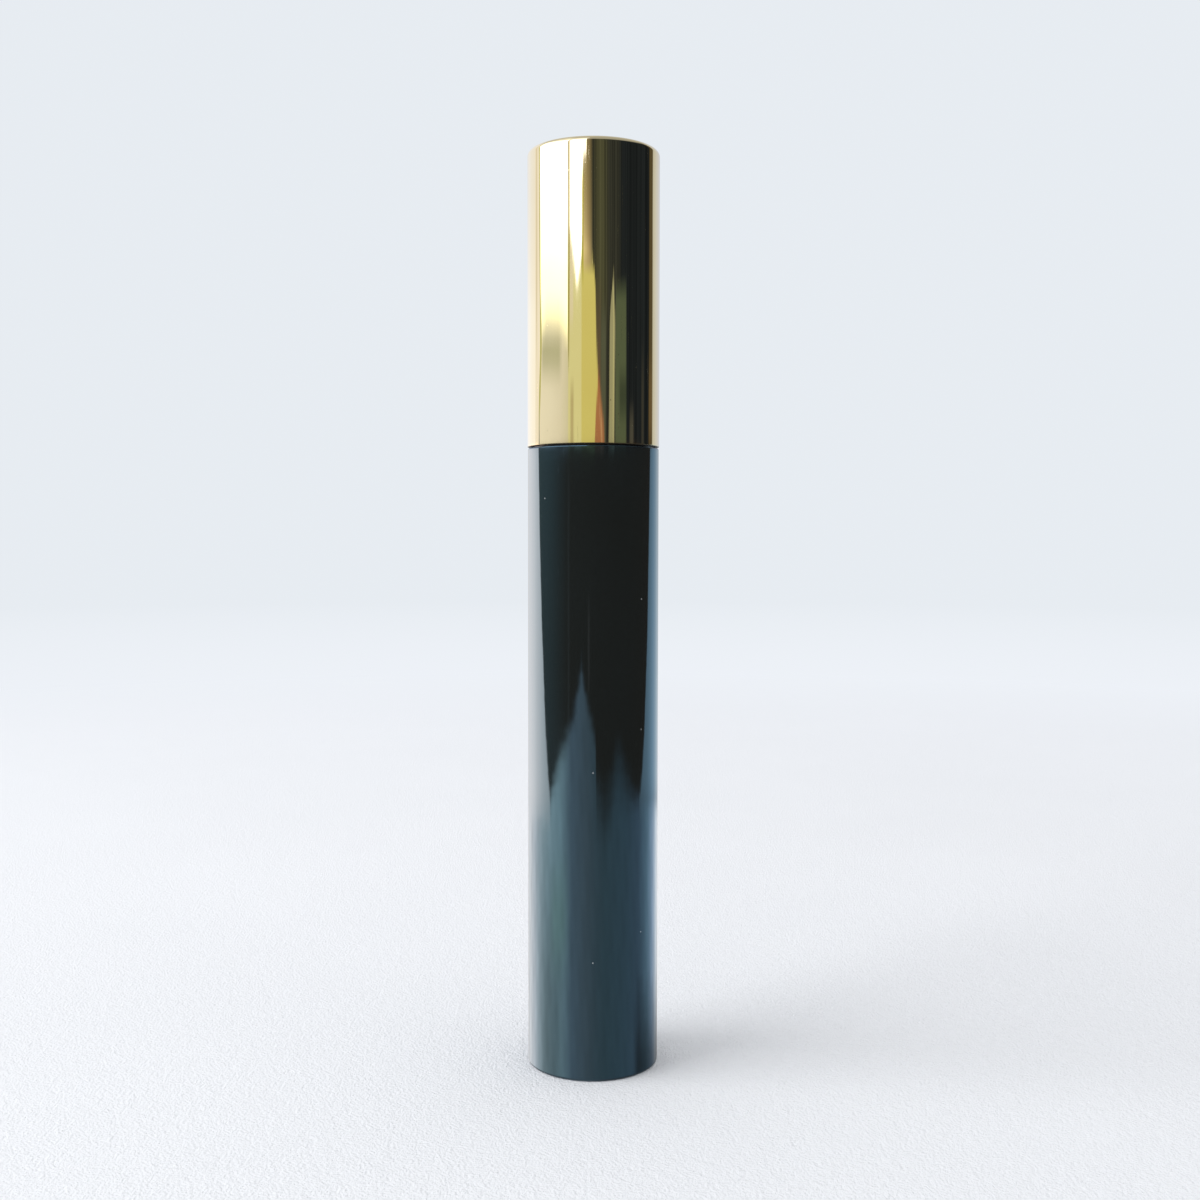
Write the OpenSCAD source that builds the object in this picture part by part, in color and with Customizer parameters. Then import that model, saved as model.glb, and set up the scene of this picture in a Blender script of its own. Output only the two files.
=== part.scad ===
// Mascara tube: a screw cap with a brush wand on a sleeved bottle.
// Millimetres, +Z up, origin at the centre of the base rim, which stands on Z = 0.

/* [Body] */
// Outside diameter of the body sleeve
body_d = 17.8; // [17:0.1:24]
// Height of the body sleeve, from the base rim to its top edge
body_h = 84.2; // [68:0.1:110]
// Wall of the body sleeve
sleeve_wall = 0.6; // [0.4:0.05:0.8]
// Radius of the rounded edge at the base rim
base_edge = 0.35; // [0.1:0.05:0.5]
// Radius of the rounded edge at the top of the sleeve
sleeve_top_edge = 0.15; // [0.05:0.01:0.3]
// Depth of the recess under the base
base_recess = 0.6; // [0.3:0.05:1.5]
// Height of the base plug
plug_h = 8.4; // [5:0.1:14]
// Thickness of the base plug's floor
plug_floor = 1.8; // [1:0.1:3]
// Wall of the base plug
plug_wall = 1.3; // [0.8:0.1:2]
// Thickness of the blank label
label_t = 0.12; // [0.08:0.01:0.25]
// Distance from the label's edge to the sleeve's bore
label_margin = 0.9; // [0.3:0.1:3]

/* [Collar] */
// Depth that the shoulder collar reaches into the sleeve
collar_depth = 1.6; // [1:0.1:3]
// Height that the collar's land stands above the sleeve
collar_land = 1.2; // [0.8:0.1:2]
// Radius of the land's rounded edge
collar_edge = 0.3; // [0.1:0.05:0.5]

/* [Bottle] */
// Wall of the bottle
bottle_wall = 1.2; // [0.8:0.05:1.6]
// Thickness of the bottle's floor
bottle_floor = 1.3; // [1:0.1:2]
// Thickness of the bottle's shoulder
bottle_shoulder = 1.4; // [1:0.1:2.5]
// Radius of the bottle's rounded edges
bottle_edge = 0.8; // [0.4:0.1:1.2]
// Height of the empty space over the paste, under the bottle's shoulder
headspace = 22.9; // [14:0.1:30]

/* [Neck and thread] */
// Outside diameter of the neck, without its thread
neck_d = 11.2; // [9.2:0.1:11.4]
// Wall of the neck
neck_wall = 1.1; // [0.9:0.05:1.3]
// Height that the neck stands above the sleeve
neck_rise = 12.8; // [11:0.1:16]
// Pitch of the right-hand thread
thread_pitch = 3; // [2.4:0.1:3.6]
// Turns that the cap is unscrewed by
thread_turns = 1.25; // [1:0.05:1.5]
// Height of the neck's thread over the neck
thread_depth = 0.6; // [0.4:0.05:0.7]
// Width of a thread ridge at its crest
ridge_crest_w = 0.5; // [0.3:0.05:0.6]
// Width of a thread ridge at its root
ridge_root_w = 1; // [0.8:0.05:1.1]
// Distance from the top of the collar's land to the neck thread's first ridge
thread_start = 2.6; // [2.2:0.1:3.2]

/* [Wiper] */
// Thickness of the wiper's flange
wiper_flange_t = 0.8; // [0.5:0.1:1.2]
// Wall of the wiper
wiper_wall = 0.7; // [0.5:0.05:0.9]
// Depth of the wiper's straight part below the neck's rim
wiper_straight = 8; // [5:0.1:10]
// Height of the wiper's cone
wiper_cone = 3; // [2:0.1:4]
// Length of the wiper's stripping lip
wiper_lip = 1.2; // [0.8:0.1:2]

/* [Cap] */
// Length of the cap's shell
cap_h = 39.6; // [33:0.1:52]
// Wall of the cap's shell
cap_wall = 0.5; // [0.35:0.05:0.7]
// Distance that the cap stands proud of the body, on the radius
cap_proud = 0.05; // [0:0.01:0.2]
// Radius of the cap's rounded top edge
cap_edge = 0.7; // [0.3:0.05:1.2]
// Radius of the cap's rounded lower rim
cap_rim_edge = 0.2; // [0.05:0.01:0.24]
// Wall of the inner cap
liner_wall = 1.2; // [0.8:0.05:1.4]
// Thickness of the inner cap's ceiling
liner_ceiling = 1.5; // [1:0.1:2.5]
// Number of ribs that centre the inner cap in its shell
rib_count = 12; // [6:1:18]
// Width of a rib
rib_w = 0.8; // [0.5:0.1:1.2]
// Distance of the ribs from the inner cap's ends
rib_inset = 1; // [0.5:0.1:2]
// Wall of the socket that holds the rod
socket_wall = 1.3; // [0.9:0.1:2]
// Height of the steel weight
weight_h = 6; // [3:0.1:8]
// Chamfer on the weight's edges
weight_chamfer = 0.5; // [0.2:0.1:1]

/* [Wand] */
// Diameter of the rod
rod_d = 4; // [3:0.1:5]
// Thickness of the rod's flange
rod_flange_t = 1; // [0.7:0.1:1.5]
// Diameter of the rod's head, in the inner cap's socket
head_d = 6; // [5:0.1:7]
// Length of the rod's head
head_l = 6.5; // [4:0.1:9]
// Chamfer at the rod's ends
rod_chamfer = 0.5; // [0.2:0.1:0.8]
// Thickness of the gasket
gasket_t = 1; // [0.6:0.1:1.5]

/* [Brush] */
// Distance from the wire's lower end to the bottle's floor
tip_clear = 3.1; // [2:0.1:6]
// Length of the bristles, along the wand
brush_l = 26; // [18:0.5:30]
// Diameter of the brush at its widest
brush_d = 7.4; // [5:0.1:8.4]
// Diameter of the brush at its tip
brush_tip_d = 3.4; // [2:0.1:5]
// Diameter of one leg of the wire
wire_d = 0.56; // [0.4:0.02:0.7]
// Length of one full twist of the wire
wire_twist = 2.4; // [1.8:0.1:4]
// Depth of wire held in the rod
wire_grip = 7; // [4:0.5:10]
// Bare wire between the rod and the bristles
wire_bare = 1.2; // [0.5:0.1:3]
// Bare wire beyond the bristles
wire_stub = 0.4; // [0.2:0.1:1]
// Depth that the wire's two legs press into each other
leg_bite = 0.04; // [0.02:0.01:0.08]
// Length of the brush's tapered upper end
brush_shoulder = 5.2; // [3:0.1:6]

/* [Fits] */
// Gap between the closed cap and the body
parting_gap = 0.2; // [0.1:0.05:0.5]
// Radial gap where pieces are pressed or glued together
press_gap = 0.02; // [0.01:0.01:0.05]
// Radial gap between the bottle and its sleeve
bottle_gap = 0.1; // [0.05:0.01:0.3]
// Radial clearance of the collar's land inside the cap
land_clear = 0.17; // [0.1:0.01:0.3]
// Axial clearance of the inner cap above the collar's land
liner_clear = 0.3; // [0.2:0.05:0.6]
// Radial clearance of the thread's crests
thread_clear = 0.2; // [0.1:0.05:0.25]
// Axial clearance of the thread's working flanks
flank_clear = 0.12; // [0.05:0.01:0.2]
// Radial running clearance of the rod in the wiper
rod_clear = 0.05; // [0.02:0.01:0.09]
// Radial clearance of the gasket on the rod
gasket_clear = 0.25; // [0.1:0.05:0.4]
// Clearance of the weight in the cap's shell
weight_clear = 0.15; // [0.1:0.05:0.3]
// Clearance of the paste round the brush
paste_clear = 0.5; // [0.3:0.1:1]
// Radial clearance of the bristle core on the wire
core_clear = 0.03; // [0.01:0.01:0.05]

/* [Hidden] */
$fn = 96;

// Radii
sleeve_r = body_d / 2;
sleeve_in = sleeve_r - sleeve_wall;
cap_r = sleeve_r + cap_proud;
cap_in = cap_r - cap_wall;
bottle_r = sleeve_in - bottle_gap;
bottle_in = bottle_r - bottle_wall;
neck_r = neck_d / 2;
neck_in = neck_r - neck_wall;
thread_r = neck_r + thread_depth;
liner_in = thread_r + thread_clear;
liner_r = liner_in + liner_wall;
cap_thread_r = neck_r + thread_clear;
rod_r = rod_d / 2;
head_r = head_d / 2;
orifice_r = rod_r + rod_clear;
socket_in = head_r + press_gap;
socket_r = socket_in + socket_wall;
flange_r = neck_r - thread_clear;
wire_r = wire_d / 2;
leg_offset = wire_r - leg_bite;
twist_r = leg_offset + wire_r;

// Levels
plug_top = base_recess + plug_h;
bottle_top = body_h - collar_depth;
collar_top = body_h + collar_land;
neck_top = body_h + neck_rise;
wiper_top = neck_top + wiper_flange_t;
gasket_top = wiper_top + gasket_t;
flange_top = gasket_top + rod_flange_t;
cap_bottom = body_h + parting_gap;
cap_top = cap_bottom + cap_h;
weight_top = cap_top - cap_wall - weight_clear;
liner_bottom = collar_top + liner_clear;
liner_top = weight_top - weight_h;
socket_top = flange_top + head_l;
paste_floor = plug_top + bottle_floor;
bottle_ceiling = bottle_top - bottle_shoulder;
paste_top = bottle_ceiling - headspace;
wire_bottom = paste_floor + tip_clear;
brush_bottom = wire_bottom + wire_stub;
brush_top = brush_bottom + brush_l;
rod_bottom = brush_top + wire_bare;

// Length that a cut runs beyond the solid it cuts
over = 1;

// Thread: the cap's ridge lies under the neck's ridge, so screwing down presses their flanks together.
// A ridge has so many steps to a turn, is rooted that deep in its wall and tapers over that share of a turn.
ridge_sides = 24;
ridge_bite = 0.3;
ridge_taper = 0.12;
neck_ridge_z = collar_top + thread_start;
ridge_mid_w = ridge_root_w - (ridge_root_w - ridge_crest_w) * (thread_clear / thread_depth);
cap_ridge_z = neck_ridge_z - ridge_mid_w - flank_clear;

// Facets round a leg of the wire, and steps to each of its full twists
wire_sides = 10;
twist_steps = 6;

// A quarter of a round edge, as points of an outline
function arc(x, z, r, from, to, steps = 8) =
    [for (i = [0:steps]) let (a = from + (to - from) * i / steps) [x + r * cos(a), z + r * sin(a)]];

// Solid of revolution with a rounded lower and upper outer edge
module turned(r, z0, z1, lower, upper) {
    rotate_extrude()
        polygon(concat([[0, z0]], arc(r - lower, z0 + lower, lower, -90, 0),
                       arc(r - upper, z1 - upper, upper, 0, 90), [[0, z1]]));
}

// Straight round bar from z0 to z1, as a solid or as a cut
module bar(r, z0, z1) {
    translate([0, 0, z0]) cylinder(r = r, h = z1 - z0);
}

// Right-hand thread ridge whose centre line starts at z0.
// It stands from wall_r to crest_r and tapers at its ends.
module ridge(wall_r, crest_r, z0, turns) {
    steps = ceil(turns * ridge_sides);
    side = sign(crest_r - wall_r);
    root = wall_r - side * ridge_bite;
    points = [for (i = [0:steps])
        let (turn = turns * i / steps,
             grow = min(1, turn / ridge_taper, (turns - turn) / ridge_taper),
             crest = wall_r + (crest_r - wall_r) * grow,
             z = z0 + thread_pitch * turn)
        for (p = [[root, -ridge_root_w / 2], [crest, -ridge_crest_w / 2],
                  [crest, ridge_crest_w / 2], [root, ridge_root_w / 2]])
            [p[0] * cos(360 * turn), p[0] * sin(360 * turn), z + p[1]]];
    last = 4 * steps;
    quads = [for (i = [0:steps - 1]) for (k = [0:3])
        let (a = 4 * i + k, b = 4 * i + (k + 1) % 4) [a, b, b + 4, a + 4]];
    facing = side > 0 ? quads : [for (q = quads) [q[3], q[2], q[1], q[0]]];
    ends = side > 0 ? [[3, 2, 1, 0], [last, last + 1, last + 2, last + 3]]
                    : [[0, 1, 2, 3], [last + 3, last + 2, last + 1, last]];
    polyhedron(points = points, faces = concat(facing, ends), convexity = 6);
}

module cap_shell() {
    color("goldenrod")
        difference() {
            turned(cap_r, cap_bottom, cap_top, cap_rim_edge, cap_edge);
            bar(cap_in, cap_bottom - over, cap_top - cap_wall);
        }
}

module inner_cap() {
    ceiling_top = flange_top + liner_ceiling;
    socket_end = socket_top + liner_wall;
    color("gainsboro") {
        rotate_extrude()
            polygon([[liner_in, liner_bottom], [liner_r, liner_bottom],
                     [liner_r, liner_top], [liner_in, liner_top],
                     [liner_in, ceiling_top], [socket_r, ceiling_top],
                     [socket_r, socket_end], [0, socket_end],
                     [0, socket_top], [socket_in, socket_top],
                     [socket_in, flange_top], [liner_in, flange_top]]);
        translate([0, 0, liner_bottom + rib_inset])
            linear_extrude(height = liner_top - liner_bottom - 2 * rib_inset)
                intersection() {
                    difference() {
                        circle(r = cap_in - press_gap);
                        circle(r = liner_r - ridge_bite);
                    }
                    for (i = [0:rib_count - 1])
                        rotate(360 * i / rib_count)
                            translate([0, -rib_w / 2]) square([cap_r, rib_w]);
                }
        ridge(liner_in, cap_thread_r, cap_ridge_z, thread_turns - ridge_taper);
    }
}

module cap_weight() {
    r = cap_in - weight_clear;
    c = weight_chamfer;
    color("silver")
        rotate_extrude()
            polygon([[0, liner_top], [r - c, liner_top], [r, liner_top + c],
                     [r, weight_top - c], [r - c, weight_top], [0, weight_top]]);
}

module rod_gasket() {
    color("white")
        difference() {
            bar(flange_r, wiper_top, gasket_top);
            bar(rod_r + gasket_clear, wiper_top - over, gasket_top + over);
        }
}

module wand_rod() {
    c = rod_chamfer;
    color("dimgray")
        difference() {
            rotate_extrude()
                polygon([[0, rod_bottom], [rod_r - c, rod_bottom], [rod_r, rod_bottom + c],
                         [rod_r, gasket_top], [flange_r, gasket_top], [flange_r, flange_top],
                         [head_r, flange_top], [head_r, socket_top - c], [head_r - c, socket_top],
                         [0, socket_top]]);
            bar(twist_r + core_clear, rod_bottom - over, rod_bottom + wire_grip);
        }
}

module brush_wire() {
    length = rod_bottom + wire_grip - wire_bottom;
    turns = length / wire_twist;
    steps = ceil(turns * twist_steps);
    color("silver")
        translate([0, 0, wire_bottom])
            linear_extrude(height = length, twist = -360 * turns, slices = steps, $fn = wire_sides)
                for (side = [-1, 1])
                    translate([side * leg_offset, 0]) circle(r = wire_r);
}

module brush_bristles() {
    color("black")
        difference() {
            rotate_extrude()
                polygon([[0, brush_bottom], [brush_tip_d / 2, brush_bottom],
                         [brush_d / 2, brush_top - 2 * brush_shoulder],
                         [brush_d / 2, brush_top - brush_shoulder],
                         [brush_tip_d / 2, brush_top], [0, brush_top]]);
            bar(twist_r + core_clear, brush_bottom - over, brush_top + over);
        }
}

module bottle() {
    color("lightgray") {
        difference() {
            union() {
                turned(bottle_r, plug_top, bottle_top, bottle_edge, bottle_edge);
                bar(neck_r, bottle_top - bottle_edge, neck_top);
            }
            bar(bottle_in, paste_floor, bottle_ceiling);
            bar(neck_in, paste_floor, neck_top + over);
        }
        ridge(neck_r, thread_r, neck_ridge_z, thread_turns - ridge_taper);
    }
}

module wiper() {
    r = neck_in - press_gap;
    straight_z = neck_top - wiper_straight;
    cone_z = straight_z - wiper_cone;
    lip_z = cone_z - wiper_lip;
    color("white")
        rotate_extrude()
            polygon([[neck_r, wiper_top], [neck_r, neck_top], [r, neck_top], [r, straight_z],
                     [orifice_r + wiper_wall, cone_z], [orifice_r + wiper_wall, lip_z], [orifice_r, lip_z],
                     [orifice_r, cone_z], [r - wiper_wall, straight_z], [r - wiper_wall, wiper_top]]);
}

module mascara_fill() {
    color("#141210")
        difference() {
            bar(bottle_in, paste_floor, paste_top);
            bar(brush_d / 2 + paste_clear, wire_bottom - paste_clear, paste_top + over);
        }
}

module body_sleeve() {
    color("#15181a")
        difference() {
            turned(sleeve_r, 0, body_h, base_edge, sleeve_top_edge);
            bar(sleeve_in, -over, body_h + over);
        }
}

module shoulder_collar() {
    color("#101214")
        difference() {
            union() {
                bar(sleeve_in - press_gap, bottle_top, body_h);
                turned(cap_in - land_clear, body_h, collar_top, 0, collar_edge);
            }
            bar(neck_r + press_gap, bottle_top - over, collar_top + over);
        }
}

module base_plug() {
    color("#1a1a1a")
        difference() {
            bar(sleeve_in - press_gap, base_recess, plug_top);
            bar(sleeve_in - press_gap - plug_wall, base_recess + plug_floor, plug_top + over);
        }
}

module base_label() {
    color("whitesmoke")
        bar(sleeve_in - label_margin, base_recess - label_t, base_recess);
}

cap_shell();
inner_cap();
cap_weight();
rod_gasket();
wand_rod();
brush_wire();
brush_bristles();
bottle();
wiper();
mascara_fill();
body_sleeve();
shoulder_collar();
base_plug();
base_label();
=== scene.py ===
"""The looks of the mascara tube: a gold cap, a black lacquered body, and the wand that the cap carries.

Lengths are metres in the CAD frame: +Z up, the base rim on Z = 0, the photograph's camera on -Y.
Azimuths are degrees from the -Y direction towards +X; elevations are degrees above the horizon.
"""
import math

import bpy
import numpy as np
from mathutils import Euler, Matrix, Vector


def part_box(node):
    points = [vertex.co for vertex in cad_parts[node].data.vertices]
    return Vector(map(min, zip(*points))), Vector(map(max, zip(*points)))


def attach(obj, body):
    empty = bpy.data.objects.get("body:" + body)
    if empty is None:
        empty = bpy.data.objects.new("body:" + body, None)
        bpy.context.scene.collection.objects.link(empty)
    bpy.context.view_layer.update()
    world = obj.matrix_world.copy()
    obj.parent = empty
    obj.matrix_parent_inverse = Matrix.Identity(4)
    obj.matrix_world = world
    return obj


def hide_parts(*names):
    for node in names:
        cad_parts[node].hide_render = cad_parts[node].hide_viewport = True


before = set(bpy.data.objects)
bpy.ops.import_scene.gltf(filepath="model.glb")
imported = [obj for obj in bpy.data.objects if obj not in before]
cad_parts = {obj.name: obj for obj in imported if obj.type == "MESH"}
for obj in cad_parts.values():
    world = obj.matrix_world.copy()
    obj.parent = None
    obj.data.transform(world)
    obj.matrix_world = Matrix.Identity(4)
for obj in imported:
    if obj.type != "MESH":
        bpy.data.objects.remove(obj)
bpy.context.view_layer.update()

MM = 0.001
MICRON = 0.001 * MM
TURN = 2 * math.pi

# ---------------------------------------------------------------- camera and stage

# the camera's place, its turns in degrees and its focal length in millimetres
EYE_DISTANCE = 192 * MM
EYE_HEIGHT = 72 * MM
EYE_PITCH = 2.5
EYE_YAW = 0.28
EYE_ROLL = 0.08
LENS = 42.1

# the backdrop as it is seen, the light that it gives, the floor, and the floor's own glow far away
PALE = (0.80, 0.84, 0.885)
SKY = (0.815, 0.815, 0.82)
FLOOR_COLOUR = (0.844, 0.865, 0.90)
FLOOR_GLOW = (0.865, 0.895, 0.945)
# half of the floor's side
FLOOR_HALF = 3.0
# distances from the tube over which the floor starts to glow, and over which its glow pales into the backdrop
GLOW_STARTS = (0.16, 0.55)
GLOW_PALES = (0.3, 1.4)

# elevations between which the room that the body mirrors turns into the one that the cap mirrors
BORDER = (3.80, 3.88)

# the neck's thread and the brush
THREAD_START = 88.0 * MM
THREAD_PITCH = 3.0 * MM
THREAD_TURNS = 1.13
TWIST = 2.4 * MM
BRUSH_SHOULDER = 5.2 * MM
BRUSH_TIP = 1.7 * MM


def add_camera():
    data = bpy.data.cameras.new("camera")
    data.lens = LENS
    data.sensor_width = 36
    data.clip_start = 0.005
    data.clip_end = 50
    camera = bpy.data.objects.new("camera", data)
    camera.location = (0, -EYE_DISTANCE, EYE_HEIGHT)
    aim = Euler((math.radians(90 - EYE_PITCH), 0, math.radians(-EYE_YAW))).to_matrix()
    camera.rotation_euler = (aim @ Matrix.Rotation(math.radians(EYE_ROLL), 3, "Z")).to_euler()
    bpy.context.scene.collection.objects.link(camera)
    bpy.context.scene.camera = camera


def link(obj):
    bpy.context.scene.collection.objects.link(obj)
    return obj


def mesh_object(name, vertices, faces, smooth=True):
    mesh = bpy.data.meshes.new(name)
    mesh.from_pydata([tuple(v) for v in vertices], [], faces)
    mesh.update()
    if smooth:
        mesh.polygons.foreach_set("use_smooth", [True] * len(mesh.polygons))
    return link(bpy.data.objects.new(name, mesh))


# ---------------------------------------------------------------- node helpers

class Tree:
    """A material's node tree, with one short call per node."""

    def __init__(self, name):
        self.material = bpy.data.materials.new(name)
        self.material.use_nodes = True
        self.nodes = self.material.node_tree.nodes
        self.links = self.material.node_tree.links
        self.shader = self.nodes["Principled BSDF"]
        self.output = self.nodes["Material Output"]

    def add(self, kind, **settings):
        node = self.nodes.new(kind)
        for key, value in settings.items():
            setattr(node, key, value)
        return node

    def join(self, source, target):
        self.links.new(source, target)

    def put(self, socket, value):
        if isinstance(value, bpy.types.NodeSocket):
            self.join(value, socket)
        else:
            socket.default_value = value

    def math(self, operation, a, b=0.0, clamp=False):
        node = self.add("ShaderNodeMath", operation=operation, use_clamp=clamp)
        self.put(node.inputs[0], a)
        self.put(node.inputs[1], b)
        return node.outputs[0]

    def coords(self, scale=(1, 1, 1), turn=(0, 0, 0), source=None):
        """Object coordinates in metres, stretched by scale."""
        if source is None:
            source = self.add("ShaderNodeTexCoord").outputs["Object"]
        node = self.add("ShaderNodeMapping")
        node.inputs["Scale"].default_value = scale
        node.inputs["Rotation"].default_value = [math.radians(a) for a in turn]
        self.join(source, node.inputs["Vector"])
        return node.outputs["Vector"]

    def noise(self, vector, scale=1.0, detail=2.0, rough=0.5, distortion=0.0):
        node = self.add("ShaderNodeTexNoise")
        node.inputs["Scale"].default_value = scale
        node.inputs["Detail"].default_value = detail
        node.inputs["Roughness"].default_value = rough
        node.inputs["Distortion"].default_value = distortion
        self.join(vector, node.inputs["Vector"])
        return node.outputs["Fac"]

    def span(self, value, low, high, to_low=0.0, to_high=1.0):
        """Maps low..high to to_low..to_high, clamped."""
        node = self.add("ShaderNodeMapRange", clamp=True)
        self.join(value, node.inputs["Value"])
        ends = {"From Min": low, "From Max": high, "To Min": to_low, "To Max": to_high}
        for name, number in ends.items():
            node.inputs[name].default_value = number
        return node.outputs["Result"]

    def mix(self, factor, a, b):
        node = self.add("ShaderNodeMix", data_type="RGBA")
        self.put(node.inputs["Factor"], factor)
        self.put(node.inputs["A"], a if isinstance(a, bpy.types.NodeSocket) else (*a, 1))
        self.put(node.inputs["B"], b if isinstance(b, bpy.types.NodeSocket) else (*b, 1))
        return node.outputs["Result"]

    def bump(self, height, distance, strength=1.0, normal=None):
        node = self.add("ShaderNodeBump")
        node.inputs["Strength"].default_value = strength
        node.inputs["Distance"].default_value = distance
        self.join(height, node.inputs["Height"])
        if normal is not None:
            self.join(normal, node.inputs["Normal"])
        return node.outputs["Normal"]

    def finish(self, colour, roughness, normal=None, metallic=0.0, **sockets):
        """Fills the shader's sockets; an underscore in a keyword stands for a space in the socket's name."""
        plain = not isinstance(colour, bpy.types.NodeSocket)
        self.put(self.shader.inputs["Base Color"], (*colour, 1) if plain else colour)
        self.put(self.shader.inputs["Roughness"], roughness)
        self.shader.inputs["Metallic"].default_value = metallic
        for name, value in sockets.items():
            self.shader.inputs[name.replace("_", " ")].default_value = value
        if normal is not None:
            self.join(normal, self.shader.inputs["Normal"])
        return self.material


# ---------------------------------------------------------------- the studio as the gloss sees it

def ease(low, high, value):
    """0 up to low, 1 from high on, and a smooth step between them."""
    t = np.clip((value - low) / (high - low), 0, 1)
    return t * t * (3 - 2 * t)


def along(azimuth, stops):
    """Values blended along the azimuth between listed stops (azimuth, value)."""
    at, values = zip(*stops)
    return np.interp(azimuth, at, values)


def colour_along(azimuth, stops):
    at, colours = zip(*stops)
    return np.stack([np.interp(azimuth, at, [c[k] for c in colours]) for k in range(3)], -1)


def patch(az, el, left, right, low, high, soft_az=1.0, soft_el=1.0):
    """1 inside the window left..right by low..high, falling softly to 0 outside it."""
    across = ease(left - soft_az, left + soft_az, az) * (1 - ease(right - soft_az, right + soft_az, az))
    return across * ease(low - soft_el, low + soft_el, el) * (1 - ease(high - soft_el, high + soft_el, el))


def paint(base, mask, colour):
    """Lays a colour over the room, by as much as the mask says."""
    return base * (1 - mask[..., None]) + np.asarray(colour) * mask[..., None]


def full(shape, colour):
    return np.ones(shape + (3,)) * colour


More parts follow.
